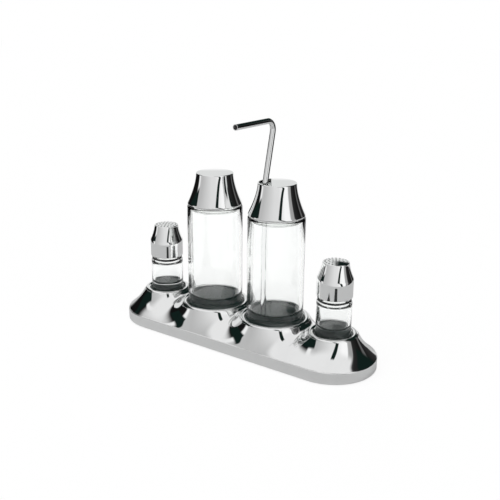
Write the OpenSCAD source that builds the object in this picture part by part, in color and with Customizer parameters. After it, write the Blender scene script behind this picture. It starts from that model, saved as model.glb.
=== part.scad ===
// Cruet set: two tall jars and two shakers standing in the collars of one polished base.
// Millimetres. +Z is up, +X runs along the base, -Y is the front.
// The origin is under the middle of the base, on the surface it stands on.

/* [Base] */
// Overall length of the base
base_len = 261.6; // [218:0.2:320]
// Overall width of the base
base_wid = 78.6; // [65:0.2:100]
// Height of the crease where the side wall meets the top
edge_z = 11.7; // [9.5:0.1:15]
// Wall of the cast base
base_wall = 3; // [2:0.1:4]
// Height of the collar rims
collar_z = 32; // [30:0.5:40]
// Half width of the rounded lip on a collar
lip_r = 2.6; // [1.5:0.1:2.8]
// Share of the flanks' rise that is straight, the rest sweeps up to the collars
flank_straight = 0.68; // [0.3:0.02:1]
// How quickly the rest sweeps up
flank_curve = 3; // [2:0.1:4]
// Depth of each jar seat, from the rim to the metal floor
seat_depth = 12; // [8:0.5:14.5]
// Gap between the two tall jars
jar_gap = 16.8; // [14:0.1:22]
// Distance from the middle of a shaker to the end of the base
end_reach = 38.1; // [30:0.1:46]

/* [Seats] */
// Thickness of the soft liner wall
liner_wall = 1.2; // [1:0.1:2.2]
// Thickness of the liner floor
liner_floor = 2; // [1:0.1:3]

/* [Tall jars] */
// Outer radius of a tall jar
jar_r = 25; // [20:0.1:30]
// Glass wall of a tall jar
jar_wall = 2.8; // [2:0.1:3.5]
// Height of a tall jar
jar_h = 100.4; // [83:0.2:121]
// Thickness of the heavy glass bottom
jar_floor = 15; // [8:0.5:18]

/* [Tall caps] */
// Height of a tall cap
cap_h = 28.8; // [24:0.1:35]
// How far the lip of a tall cap stands inside the glass
cap_inset = 0.2; // [0:0.1:1]
// Radius of the flat top
cap_top_r = 16.9; // [14:0.1:20.4]
// How quickly the cap flares, 1 is straight
cap_curve = 1.58; // [1.2:0.02:2.4]
// Sheet thickness of the caps
cap_wall = 0.9; // [0.7:0.1:1.2]
// Depth of the stopper inside the glass
stopper_h = 4; // [3.2:0.1:12]
// Distance of the straight edge of the pouring opening from the axis
slot_x = 5; // [4:0.1:6]
// Way the pouring opening faces, from +X
slot_turn = 215; // [0:1:359]

/* [Tube] */
// Outer radius of the bent tube
tube_r = 2.5; // [2:0.1:2.8]
// Wall of the tube
tube_wall = 0.5; // [0.4:0.05:0.8]
// Height of the arm above the top of the cap
tube_rise = 50.8; // [40:0.2:61]
// Lean of the stem above the cap, in degrees
tube_lean = 13.5; // [8:0.5:16]
// Length of the arm from the upper corner
arm_len = 54.8; // [40:0.2:66]
// Centre-line radius of the upper bend
arm_bend = 8; // [6:0.5:10]

/* [Shakers] */
// Outer radius of a shaker jar
pot_r = 15; // [12.5:0.1:18]
// Glass wall of a shaker jar
pot_wall = 2.3; // [1.8:0.1:2.6]
// Height of a shaker jar from its foot to the shoulder
pot_h = 38.2; // [32:0.2:46]
// Thickness of the glass bottom
pot_floor = 14.7; // [8:0.1:16]
// Height of the neck above the shoulder
neck_h = 14.5; // [12:0.5:18]
// How far the neck stands inside the shoulder
neck_inset = 2.8; // [2.4:0.1:3.4]

/* [Shaker caps] */
// How far the straight band stands outside the glass
band_out = 0.25; // [0:0.05:1]
// How far the straight band reaches above the neck
band_over = 4.8; // [2:0.1:8]
// Height of the flare above the band
flare_h = 14.1; // [12:0.2:17]
// Radius of the perforated top
dome_r = 11.2; // [9.4:0.1:12.5]
// Rise of the domed top
dome_rise = 0.9; // [0.5:0.1:1.5]
// Radius of a shaker hole
hole_r = 0.75; // [0.5:0.05:0.9]
// Spacing of the rings of holes
hole_step = 3.05; // [2.6:0.05:3.1]
// Number of rings of holes round the middle one
hole_rings = 3; // [1:1:3]
// How much of the threaded sleeve shows under the cap
sleeve_show = 2.2; // [1:0.1:3]
// Thickness of the gasket on the glass shoulder
gasket_h = 1.2; // [0.8:0.1:2]

/* [Hidden] */
$fn = 96;
// Gap between a jar and the seat under and around it
seat_gap = 0.3;
// Gap between pieces that are pressed together
press_gap = 0.05;
// Gap between plain faces that rest on each other through a soft ring
rest_gap = 0.15;

// Base
half_len = base_len / 2;
half_wid = base_wid / 2;
jar_x = jar_r + jar_gap / 2;
shaker_x = half_len - end_reach;
foot_h = 1;                     // clearance under the shell's edge
edge_chamfer = 1.2;
edge_steep = 1.5;               // rise of the lower chamfer for each millimetre in
ceiling_z = edge_z - base_wall - 0.5;
seat_z = collar_z - seat_depth;
flank_drop = 1.5;               // the flank meets the lip this far under the rim
lip_start = 18;                 // angle on the lip where the flank ends
collar_sink = 2;                // collars and ridge start this far above the shell's edge
plate_t = 2;
plate_gap = 0.25;
plate_z = foot_h + 0.6;
boss_r = 4.5;
screw_r = 1.5;
screw_gap = 0.1;
screw_sink = 0.02;
screw_head_r = 2.8;
screw_len = 6;
screw_slot = [2.6, 0.6, 1.4];
screw_x = (jar_x + shaker_x) / 2 + 5;
screw_y = half_wid - 15.3;
screw_xy = [for (x = [-screw_x, 0, screw_x], y = [-screw_y, screw_y]) [x, y]];
foot_r = 6;
foot_taper = 0.5;
foot_stem_r = 2;
foot_x = shaker_x + 5.3;
foot_y = half_wid - 19.3;
foot_xy = concat([[0, 0]], [for (x = [-foot_x, foot_x], y = [-foot_y, foot_y]) [x, y]]);

// Seats: everything round a jar follows its radius
jar_bore_r = jar_r + seat_gap + liner_wall;
pot_bore_r = pot_r + seat_gap + liner_wall;
liner_top_z = collar_z - 2.2;
valley = (shaker_x - jar_x - jar_bore_r - pot_bore_r) / 2 - 2 * lip_r;

// Tall jars and caps, heights on the assembled set
jar_z = seat_z + liner_floor + seat_gap;
jar_foot_chamfer = 1.5;
jar_top_z = jar_z + jar_h;
jar_bore = jar_r - jar_wall;
jar_floor_z = jar_z + jar_floor;
jar_rim_r = jar_wall / 2;
heel_r = 4;
flange_t = 0.5;                 // stopper flange, the thin line under the cap
flange_r = jar_r - 1.4;
flange_z = jar_top_z + rest_gap;
stopper_r = jar_bore - 0.8;
stopper_wall = 2.4;
spigot_h = 2.5;                 // the part of the stopper that the cap is glued on
ring_r = 0.9;                   // section radius of the seal ring
ring_z = jar_top_z - stopper_h / 2;
ring_mid_r = jar_bore - ring_r - 0.03;
groove_h = 2 * ring_r + 0.2;
stopper_roof = 1;               // closed top of the oil stopper's plug
cap_r = jar_r - cap_inset;
cap_z = flange_z + flange_t;
cap_lip = 0.9;                  // radius of the rolled lip
cap_skirt = 0.7;                // short straight skirt under the lip
cap_lip_z = cap_z + cap_skirt + cap_lip;
cap_edge_r = 0.6;               // rounding round the flat top
cap_top_z = cap_z + cap_h;
cap_spigot_r = cap_r - cap_wall - 0.9;
slot_lip = 5;                   // depth of the turned-down straight edge
slot_r = cap_top_r - cap_wall - 0.5;

// Tube: it drops into the vinegar jar through the middle of the opening
tube_out = (slot_x + slot_r) / 2;
tube_turn = slot_turn - 4;
tube_x = jar_x + tube_out * cos(tube_turn);
tube_y = tube_out * sin(tube_turn);
tube_foot_z = jar_floor_z + seat_gap;
knee_z = cap_top_z - 1.2;
arm_z = cap_top_z + tube_rise;
bend_swell = 0.05;              // a bent tube is a little thicker at the bend
bend_grip = 0.2;                // how far a straight runs into the bend
corner_turn = 90 + tube_lean;
corner_tan = arm_bend * tan(corner_turn / 2);
stem_len = (arm_z - knee_z) / cos(tube_lean);
corner_y = tube_y + stem_len * sin(tube_lean);
bend_y = corner_y - corner_tan;

// Shakers
pot_z = jar_z;
pot_top_z = pot_z + pot_h;
pot_bore = pot_r - pot_wall;
pot_floor_z = pot_z + pot_floor;
pot_foot_chamfer = 1;
shoulder_r = 1.5;               // outer rounding of the glass shoulder
shoulder_in_r = 2;              // and the rounding under it
pot_heel_r = 3;
neck_r = pot_r - neck_inset;
neck_bore = neck_r - 2.4;
neck_edge = 0.5;
neck_top_z = pot_top_z + neck_h;
gasket_z = pot_top_z + rest_gap;
gasket_r = pot_r - 0.9;
shaker_wall = 0.8;
thread_gap = 0.3;
band_r = pot_r + band_out;
sleeve_z = gasket_z + gasket_h + rest_gap;
sleeve_r = band_r - shaker_wall - press_gap;
sleeve_bore = neck_r + thread_gap;
sleeve_roof = 0.8;              // the part of the sleeve over the neck
sleeve_top_z = neck_top_z + rest_gap + sleeve_roof;
shaker_cap_z = sleeve_z + sleeve_show;
band_top_z = neck_top_z + band_over;
flare_top_z = band_top_z + flare_h;
dome_sphere_r = (dome_r * dome_r + dome_rise * dome_rise) / (2 * dome_rise);
dome_half = asin(dome_r / dome_sphere_r);
dome_wall = 0.4;

// ---- Curves -------------------------------------------------------------------------

// Points on an arc of radius r round (x, y), from angle a to angle b
function arc(x, y, r, a, b, n = 8) =
    [for (i = [0:n]) [x + r * cos(a + (b - a) * i / n), y + r * sin(a + (b - a) * i / n)]];

// A flare that narrows from r0 at z0 to r1 at z1
function flare(r0, z0, r1, z1, p, n = 12) =
    [for (i = [0:n]) [r1 + (r0 - r1) * pow(1 - i / n, p), z0 + (z1 - z0) * i / n]];

// Height of the base's top: full at a collar, nothing at the edge
function flank_z(to_edge, to_lip) =
    let (share = to_edge / (to_edge + to_lip))
        edge_z + (collar_z - flank_drop - edge_z)
            * (flank_straight * share + (1 - flank_straight) * pow(share, flank_curve));

// ---- Base ---------------------------------------------------------------------------

// Sweeps a half profile of [distance from the middle line, height] round a stadium
module stadium_sweep(profile) {
    run = half_len - half_wid;
    for (side = [0, 180])
        rotate([0, 0, side]) translate([run, 0, 0]) rotate_extrude() polygon(profile);
    for (side = [-1, 1])
        translate([-run, 0, 0]) rotate([90, 0, 90])
            linear_extrude(2 * run) on_side(side) polygon(profile);
}

// A flat profile as it is (1) or mirrored to the other side (-1)
module on_side(side) {
    if (side > 0)
        children();
    else
        mirror([1, 0]) children();
}

// One flared collar, solid, with its rounded lip
module collar(bore_r, reach) {
    lip_out = bore_r + 2 * lip_r;
    flank = [for (i = [0:14]) let (r = reach + (lip_out - reach) * i / 14)
        [r, flank_z(reach - r, r - lip_out)]];
    lip = arc(bore_r + lip_r, collar_z - lip_r, lip_r, lip_start, 90, 6);
    rotate_extrude()
        polygon(concat([[0, foot_h + collar_sink], [reach, foot_h + collar_sink]],
            flank, lip, [[0, collar_z]]));
}

// The ridge that joins the collars
module ridge() {
    lip_out = jar_bore_r + 2 * lip_r;
    side = [for (i = [0:16]) let (y = half_wid * (1 - i / 16))
        [y, flank_z(half_wid - y, norm([lip_out + valley, y]) - lip_out)]];
    foot = [[0, foot_h + collar_sink], [half_wid, foot_h + collar_sink]];
    for (s = [-1, 1])
        translate([-shaker_x, 0, 0]) rotate([90, 0, 90]) linear_extrude(2 * shaker_x)
            on_side(s) polygon(concat(foot, side));
}

// A seat: the bore for the liner, opened at the top to the lip's rounding
module seat_cut(bore_r) {
    translate([0, 0, seat_z]) cylinder(r = bore_r + press_gap, h = collar_z);
    rotate_extrude()
        polygon(concat([[bore_r - 1, collar_z - lip_r]],
            arc(bore_r + lip_r, collar_z - lip_r, lip_r, 180, 90, 6),
            [[bore_r + lip_r, collar_z + 1], [bore_r - 1, collar_z + 1]]));
}

module base_shell() {
    color("gainsboro")
    difference() {
        union() {
            difference() {
                union() {
                    stadium_sweep([[0, foot_h], [half_wid - edge_chamfer, foot_h],
                        [half_wid, foot_h + edge_chamfer * edge_steep],
                        [half_wid, edge_z], [0, edge_z]]);
                    ridge();
                    for (s = [-1, 1]) {
                        translate([s * jar_x, 0, 0]) collar(jar_bore_r, half_wid);
                        translate([s * shaker_x, 0, 0]) collar(pot_bore_r, end_reach);
                    }
                }
                stadium_sweep([[0, 0], [half_wid - base_wall, 0],
                    [half_wid - base_wall, ceiling_z], [0, ceiling_z]]);
                for (s = [-1, 1]) {
                    translate([s * jar_x, 0, 0])
                        cylinder(r = jar_bore_r - base_wall, h = seat_z - base_wall);
                    translate([s * shaker_x, 0, 0])
                        cylinder(r = pot_bore_r - base_wall, h = seat_z - base_wall);
                }
            }
            for (p = screw_xy)
                translate([p[0], p[1], plate_z + plate_t])
                    cylinder(r = boss_r, h = ceiling_z - plate_z - plate_t + 1);
        }
        for (s = [-1, 1]) {
            translate([s * jar_x, 0, 0]) seat_cut(jar_bore_r);
            translate([s * shaker_x, 0, 0]) seat_cut(pot_bore_r);
        }
        for (p = screw_xy)
            translate([p[0], p[1], 0]) cylinder(r = screw_r + press_gap, h = plate_z + screw_len + 0.5);
    }
}

module base_plate() {
    inset = half_wid - base_wall - plate_gap;
    color("dimgray")
    difference() {
        stadium_sweep([[0, plate_z], [inset, plate_z], [inset, plate_z + plate_t],
            [0, plate_z + plate_t]]);
        for (p = screw_xy)
            translate([p[0], p[1], plate_z]) {
                cylinder(r = screw_r + screw_gap, h = 3 * plate_t, center = true);
                cylinder(r1 = screw_head_r + screw_gap, r2 = screw_r + screw_gap,
                    h = screw_head_r - screw_r);
            }
        for (p = foot_xy)
            translate([p[0], p[1], plate_z])
                cylinder(r = foot_stem_r + press_gap, h = 3 * plate_t, center = true);
    }
}

module base_screws() {
    color("silver")
    for (p = screw_xy)
        translate([p[0], p[1], plate_z + screw_sink])
            difference() {
                union() {
                    cylinder(r1 = screw_head_r, r2 = screw_r, h = screw_head_r - screw_r);
                    cylinder(r = screw_r, h = screw_len);
                }
                for (a = [0, 90])
                    rotate([0, 0, a]) cube(screw_slot, center = true);
            }
}

module base_feet() {
    color("black")
    for (p = foot_xy)
        translate([p[0], p[1], 0]) {
            cylinder(r1 = foot_r - foot_taper, r2 = foot_r, h = plate_z);
            cylinder(r = foot_stem_r, h = plate_z + plate_t + 1);
        }
}

// A soft cup that lines a seat
module seat_liner(jar_radius) {
    color("black")
    difference() {
        translate([0, 0, seat_z])
            cylinder(r = jar_radius + seat_gap + liner_wall, h = liner_top_z - seat_z);
        translate([0, 0, seat_z + liner_floor]) cylinder(r = jar_radius + seat_gap, h = seat_depth);
    }
}

module salt_seat_liner() { translate([-shaker_x, 0, 0]) seat_liner(pot_r); }
module oil_seat_liner() { translate([-jar_x, 0, 0]) seat_liner(jar_r); }
module vinegar_seat_liner() { translate([jar_x, 0, 0]) seat_liner(jar_r); }
module pepper_seat_liner() { translate([shaker_x, 0, 0]) seat_liner(pot_r); }

// ---- Tall jars ----------------------------------------------------------------------

module tall_jar() {
    color("lightcyan", 0.4)
    rotate_extrude()
        polygon(concat(
            [[0, jar_z], [jar_r - jar_foot_chamfer, jar_z], [jar_r, jar_z + jar_foot_chamfer]],
            arc(jar_r - jar_rim_r, jar_top_z - jar_rim_r, jar_rim_r, 0, 180, 8),
            arc(jar_bore - heel_r, jar_floor_z + heel_r, heel_r, 0, -90, 6),
            [[0, jar_floor_z]]));
}

// The plastic stopper glued in a tall cap: a flange on the glass and a plug inside it
module stopper(open_r) {
    color("whitesmoke")
    difference() {
        union() {
            translate([0, 0, flange_z]) cylinder(r = flange_r, h = flange_t);
            translate([0, 0, jar_top_z - stopper_h])
                cylinder(r = stopper_r, h = stopper_h + rest_gap + flange_t);
            translate([0, 0, cap_z]) cylinder(r = cap_spigot_r - press_gap, h = spigot_h);
        }
        if (open_r > 0)
            translate([0, 0, jar_top_z - stopper_h - 1])
                cylinder(r = open_r, h = stopper_h + flange_t + 2 * spigot_h + 1);
        else
            translate([0, 0, jar_top_z - stopper_h - 1])
                cylinder(r = stopper_r - stopper_wall, h = stopper_h + 1 - stopper_roof);
        translate([0, 0, ring_z - groove_h / 2])
            difference() {
                cylinder(r = stopper_r + 1, h = groove_h);
                cylinder(r = ring_mid_r - ring_r - press_gap, h = groove_h);
            }
    }
}

module seal_ring() {
    color("black")
    translate([0, 0, ring_z]) rotate_extrude() translate([ring_mid_r, 0]) circle(r = ring_r, $fn = 32);
}

// Outside of a tall cap, drawn in by `t` for its inside
function cap_outline(t) = concat(
    t > 0 ? [[cap_spigot_r, cap_z + cap_skirt]]
          : concat([[cap_r - cap_lip, cap_z]], arc(cap_r - cap_lip, cap_lip_z, cap_lip, -90, 0, 4)),
    flare(cap_r - t, cap_lip_z + t / 2, cap_top_r - t, cap_top_z - t - cap_edge_r, cap_curve, 14),
    t > 0 ? [[cap_top_r - t, cap_top_z - t]]
          : arc(cap_top_r - cap_edge_r, cap_top_z - cap_edge_r, cap_edge_r, 0, 90, 4));

module tall_cap(open) {
    color("gainsboro")
    difference() {
        rotate_extrude() polygon(concat([[0, cap_z]], cap_outline(0), [[0, cap_top_z]]));
        difference() {
            rotate_extrude()
                polygon(concat([[0, cap_z - 1], [cap_spigot_r, cap_z - 1]],
                    cap_outline(cap_wall), [[0, cap_top_z - cap_wall]]));
            // the straight edge of the opening is turned down inside the cap
            if (open)
                rotate([0, 0, slot_turn]) translate([slot_x - cap_wall, -cap_r, cap_top_z - slot_lip])
                    cube([cap_wall, 2 * cap_r, slot_lip]);
        }
        if (open)
            rotate([0, 0, slot_turn]) translate([0, 0, cap_top_z - 2 * cap_wall])
                linear_extrude(4 * cap_wall) intersection() {
                    circle(r = slot_r);
                    translate([slot_x, -cap_r]) square([cap_r, 2 * cap_r]);
                }
    }
}

module oil_jar() { translate([-jar_x, 0, 0]) tall_jar(); }
module oil_stopper() { translate([-jar_x, 0, 0]) stopper(0); }
module oil_seal_ring() { translate([-jar_x, 0, 0]) seal_ring(); }
module oil_cap() { translate([-jar_x, 0, 0]) tall_cap(false); }
module vinegar_jar() { translate([jar_x, 0, 0]) tall_jar(); }
module vinegar_stopper() { translate([jar_x, 0, 0]) stopper(stopper_r - stopper_wall); }
module vinegar_seal_ring() { translate([jar_x, 0, 0]) seal_ring(); }
module vinegar_cap() { translate([jar_x, 0, 0]) tall_cap(true); }

// ---- Tube ---------------------------------------------------------------------------

// The tube's run as a solid of radius r, `over` longer at both ends
module tube_run(r, over) {
    cut = 4 * tube_r;
    // lower straight and leaning stem, mitred at the knee
    difference() {
        translate([tube_x, tube_y, tube_foot_z - over])
            cylinder(r = r, h = knee_z - tube_foot_z + over + cut);
        translate([tube_x, tube_y, knee_z]) rotate([-tube_lean / 2, 0, 0])
            translate([-cut, -cut, 0]) cube(2 * cut);
    }
    difference() {
        translate([tube_x, tube_y, knee_z]) rotate([-tube_lean, 0, 0]) translate([0, 0, -cut])
            cylinder(r = r, h = cut + stem_len - corner_tan + bend_grip);
        translate([tube_x, tube_y, knee_z]) rotate([-tube_lean / 2, 0, 0])
            translate([-cut, -cut, -2 * cut]) cube(2 * cut);
    }
    // upper bend
    translate([tube_x, bend_y, arm_z - arm_bend]) rotate([90, 0, 90])
        rotate([0, 0, 90 - corner_turn]) rotate_extrude(angle = corner_turn)
            translate([arm_bend, 0]) circle(r = r + bend_swell, $fn = 48);
    // arm
    translate([tube_x, bend_y + bend_grip, arm_z]) rotate([90, 0, 0])
        cylinder(r = r, h = arm_len - corner_tan + bend_grip + over);
}

module dispensing_tube() {
    color("silver")
    difference() {
        tube_run(tube_r, 0);
        tube_run(tube_r - tube_wall, 1);
    }
}

// ---- Shakers ------------------------------------------------------------------------

module shaker_jar() {
    color("lightcyan", 0.4)
    rotate_extrude()
        polygon(concat(
            [[0, pot_z], [pot_r - pot_foot_chamfer, pot_z], [pot_r, pot_z + pot_foot_chamfer]],
            arc(pot_r - shoulder_r, pot_top_z - shoulder_r, shoulder_r, 0, 90, 6),
            [[neck_r, pot_top_z], [neck_r, neck_top_z - neck_edge],
                [neck_r - neck_edge, neck_top_z], [neck_bore, neck_top_z],
                [neck_bore, pot_top_z - 1]],
            arc(pot_bore - shoulder_in_r, pot_top_z - 5, shoulder_in_r, 60, 0, 4),
            arc(pot_bore - pot_heel_r, pot_floor_z + pot_heel_r, pot_heel_r, 0, -90, 6),
            [[0, pot_floor_z]]));
}

module shaker_gasket() {
    color("black")
    translate([0, 0, gasket_z]) difference() {
        cylinder(r = gasket_r, h = gasket_h);
        translate([0, 0, -1]) cylinder(r = neck_r + press_gap, h = gasket_h + 2);
    }
}

// Inside and outside of a shaker cap follow the same lines, `t` apart
function shaker_outline(t) = concat(
    [[band_r - t, shaker_cap_z - t], [band_r - t, band_top_z]],
    flare(band_r - t, band_top_z, dome_r - t, flare_top_z - t, cap_curve, 10));

module shaker_cap() {
    color("gainsboro")
    difference() {
        rotate_extrude()
            polygon(concat([[0, shaker_cap_z]], shaker_outline(0),
                arc(0, flare_top_z + dome_rise - dome_sphere_r, dome_sphere_r,
                    90 - dome_half, 90, 6)));
        rotate_extrude()
            polygon(concat([[0, shaker_cap_z - shaker_wall]], shaker_outline(shaker_wall),
                [[0, flare_top_z - shaker_wall + dome_wall]]));
        for (ring = [0:hole_rings], i = [0:max(0, 6 * ring - 1)])
            rotate([0, 0, ring == 0 ? 0 : 60 * i / ring])
                translate([ring * hole_step, 0, flare_top_z - 3 * shaker_wall])
                    cylinder(r = hole_r, h = 6 * shaker_wall, $fn = 24);
    }
}

// The threaded plastic sleeve pressed in a shaker cap
module shaker_sleeve() {
    color("whitesmoke")
    difference() {
        translate([0, 0, sleeve_z]) cylinder(r = sleeve_r, h = sleeve_top_z - sleeve_z);
        translate([0, 0, sleeve_z - 1])
            cylinder(r = sleeve_bore, h = sleeve_top_z - sleeve_roof - sleeve_z + 1);
        translate([0, 0, sleeve_z]) cylinder(r = neck_bore, h = 2 * neck_h);
    }
}

module salt_jar() { translate([-shaker_x, 0, 0]) shaker_jar(); }
module salt_gasket() { translate([-shaker_x, 0, 0]) shaker_gasket(); }
module salt_cap() { translate([-shaker_x, 0, 0]) shaker_cap(); }
module salt_cap_sleeve() { translate([-shaker_x, 0, 0]) shaker_sleeve(); }
module pepper_jar() { translate([shaker_x, 0, 0]) shaker_jar(); }
module pepper_gasket() { translate([shaker_x, 0, 0]) shaker_gasket(); }
module pepper_cap() { translate([shaker_x, 0, 0]) shaker_cap(); }
module pepper_cap_sleeve() { translate([shaker_x, 0, 0]) shaker_sleeve(); }

base_shell();
base_plate();
base_screws();
base_feet();
salt_seat_liner();
oil_seat_liner();
vinegar_seat_liner();
pepper_seat_liner();
oil_jar();
oil_stopper();
oil_seal_ring();
oil_cap();
vinegar_jar();
vinegar_stopper();
vinegar_seal_ring();
vinegar_cap();
dispensing_tube();
salt_jar();
salt_gasket();
salt_cap();
salt_cap_sleeve();
pepper_jar();
pepper_gasket();
pepper_cap();
pepper_cap_sleeve();
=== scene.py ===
import math

import bmesh
import bpy
from bpy.props import FloatProperty, FloatVectorProperty, IntProperty, PointerProperty
from mathutils import Matrix, Vector


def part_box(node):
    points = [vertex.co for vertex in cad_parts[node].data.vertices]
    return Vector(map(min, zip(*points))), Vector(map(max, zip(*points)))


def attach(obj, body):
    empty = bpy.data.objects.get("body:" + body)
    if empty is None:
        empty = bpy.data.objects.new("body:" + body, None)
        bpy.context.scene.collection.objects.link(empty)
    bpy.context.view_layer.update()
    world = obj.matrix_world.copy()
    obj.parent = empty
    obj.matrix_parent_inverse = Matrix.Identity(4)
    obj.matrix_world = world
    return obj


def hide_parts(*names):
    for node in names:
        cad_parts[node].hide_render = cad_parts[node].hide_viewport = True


bl_info = {
    "name": "Cruet set",
    "version": (1, 0, 0),
    "blender": (4, 5, 0),
    "location": "View3D > Sidebar > Cruet set",
    "description": "Builds the polished base, the glass jars, the caps and the bent tube of a cruet set",
    "category": "Object",
}

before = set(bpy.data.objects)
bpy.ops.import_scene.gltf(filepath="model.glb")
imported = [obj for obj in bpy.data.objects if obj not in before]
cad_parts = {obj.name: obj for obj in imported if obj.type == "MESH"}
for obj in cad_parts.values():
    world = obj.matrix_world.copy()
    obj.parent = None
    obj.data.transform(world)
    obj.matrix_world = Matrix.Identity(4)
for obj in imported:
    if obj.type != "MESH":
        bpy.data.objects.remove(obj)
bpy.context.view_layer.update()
MM = 0.001
AROUND = 96                     # steps round a turned piece
FLANK_STEPS = 28                # steps from a collar's lip to the edge of the base
FOOT_RADIUS = 6.0               # of a rubber foot, in millimetres
NECK_WALL = 2.4                 # of a shaker jar's neck, in millimetres
TALL = ("oil", "vinegar")
SMALL = ("salt", "pepper")


def extent(node):
    """Middle x and y, radius, lowest and highest point of a round CAD node, in millimetres."""
    lo, hi = (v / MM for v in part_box(node))
    return (lo.x + hi.x) / 2, (lo.y + hi.y) / 2, (hi.x - lo.x) / 2, lo.z, hi.z


# ---- Shader nodes --------------------------------------------------------------------


class Sock:
    """A number on a node's socket that takes part in Python sums."""

    def __init__(self, shade, socket):
        self.shade, self.socket = shade, socket

    def _math(self, operation, *values):
        return self.shade.node("ShaderNodeMath", {"operation": operation}, dict(enumerate(values)))

    def __add__(self, other):
        return self._math("ADD", self, other)

    def __radd__(self, other):
        return self._math("ADD", other, self)

    def __sub__(self, other):
        return self._math("SUBTRACT", self, other)

    def __rsub__(self, other):
        return self._math("SUBTRACT", other, self)

    def __mul__(self, other):
        return self._math("MULTIPLY", self, other)

    def __rmul__(self, other):
        return self._math("MULTIPLY", other, self)

    def __truediv__(self, other):
        return self._math("DIVIDE", self, other)

    def __rtruediv__(self, other):
        return self._math("DIVIDE", other, self)

    def size(self):
        return self._math("ABSOLUTE", self)

    def over(self, low, high):
        """0 at low, 1 at high, smooth between."""
        return self.shade.node("ShaderNodeMapRange", {"interpolation_type": "SMOOTHSTEP"},
                               {0: self, 1: low, 2: high, 3: 0.0, 4: 1.0})


class Shade:
    """Writes the nodes of one material or of the world."""

    def __init__(self, owner):
        owner.use_nodes = True
        self.tree = owner.node_tree
        self.tree.nodes.clear()

    def node(self, kind, settings=None, values=None, out=0):
        """One node: its settings first, then the values or links of its sockets."""
        made = self.tree.nodes.new(kind)
        for key, value in (settings or {}).items():
            if key == "stops":
                ramp = made.color_ramp
                while len(ramp.elements) > 1:
                    ramp.elements.remove(ramp.elements[0])
                for i, (place, level) in enumerate(value):
                    stop = ramp.elements[0] if i == 0 else ramp.elements.new(place)
                    stop.position = place
                    stop.color = (*level, 1.0) if isinstance(level, tuple) else (level, level, level, 1.0)
            else:
                setattr(made, key, value)
        for key, value in (values or {}).items():
            if isinstance(value, Sock):
                self.tree.links.new(value.socket, made.inputs[key])
            else:
                made.inputs[key].default_value = value
        return Sock(self, made.outputs[out]) if made.outputs else None

    def place(self):
        return self.node("ShaderNodeTexCoord", out="Object")

    def noise(self, scale, detail=3.0, rough=0.5, stretch=None):
        """Noise with its features `1 / scale` metres across."""
        at = self.place()
        if stretch:
            at = self.node("ShaderNodeMapping", values={"Vector": at, "Scale": stretch})
        return self.node("ShaderNodeTexNoise",
                         values={"Vector": at, "Scale": scale, "Detail": detail, "Roughness": rough})

    def tint(self, mask, low, high):
        """Colour low where the mask is 0, high where it is 1. Either may be a link."""
        ends = [c if isinstance(c, Sock) else (*c, 1.0) for c in (low, high)]
        return self.node("ShaderNodeMix", {"data_type": "RGBA"}, {0: mask, 6: ends[0], 7: ends[1]}, out=2)

    def bump(self, height, depth):
        return self.node("ShaderNodeBump", values={"Height": height, "Distance": depth, "Strength": 1.0})

    def finish(self, **sockets):
        """The surface itself."""
        named = {key.replace("_", " "): value for key, value in sockets.items()}
        surface = self.node("ShaderNodeBsdfPrincipled", values=named)
        self.node("ShaderNodeOutputMaterial", values={"Surface": surface})


def material(name):
    made = bpy.data.materials.new(name)
    return made, Shade(made)


def mirror_chrome(name, tint, rough, smear, wave=0.00002):
    """Plated metal with faint smears where it has been wiped."""
    made, s = material(name)
    wiped = s.noise(38.0, 4.0, 0.6, (1.0, 1.0, 0.35)).over(0.42, 0.72)
    fine = s.noise(900.0, 2.0)
    wavy = s.noise(26.0, 1.0)
    cool = tuple(c * 0.965 for c in tint)
    s.finish(Base_Color=s.tint(wiped, tint, cool), Metallic=1.0,
             Roughness=wiped * smear + fine * 0.006 + rough,
             Normal=s.bump(wavy, wave))
    return made


def clear_glass(name, tint, ior, rough):
    """Pressed glass with a very slight ripple."""
    made, s = material(name)
    ripple = s.noise(120.0, 2.0, 0.5, (1.0, 1.0, 0.4))
    film = s.noise(60.0, 3.0).over(0.45, 0.75)
    pale = tuple(min(1.0, c * 1.006) for c in tint)
    s.finish(Base_Color=s.tint(film, pale, tint), Transmission_Weight=1.0, IOR=ior,
             Roughness=film * rough, Normal=s.bump(ripple, 0.00002))
    return made


def soft_black(name, tint, rough, grain):
    """Moulded rubber with a fine grain; also the near-black painted shade inside the shaker caps and under
    the jar bottoms.
    """
    made, s = material(name)
    worn = s.noise(140.0, 4.0, 0.6).over(0.4, 0.75)
    fine = s.noise(2600.0, 2.0)
    grey = tuple(c * 1.9 + 0.004 for c in tint)
    s.finish(Base_Color=s.tint(worn, tint, grey), Roughness=worn * 0.12 + rough, IOR=1.5,
             Normal=s.bump(fine, grain))
    return made


def brushed_steel(name, tint, rough):
    """Turned steel with fine rings."""
    made, s = material(name)
    rings = s.noise(700.0, 2.0, 0.5, (1.0, 1.0, 6.0))
    dull = s.noise(90.0, 3.0).over(0.4, 0.7)
    dark = tuple(c * 0.8 for c in tint)
    s.finish(Base_Color=s.tint(dull, tint, dark), Metallic=1.0, Roughness=rings * 0.14 + rough,
             Normal=s.bump(rings, 0.00001))
    return made


MATERIALS = {}


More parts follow.
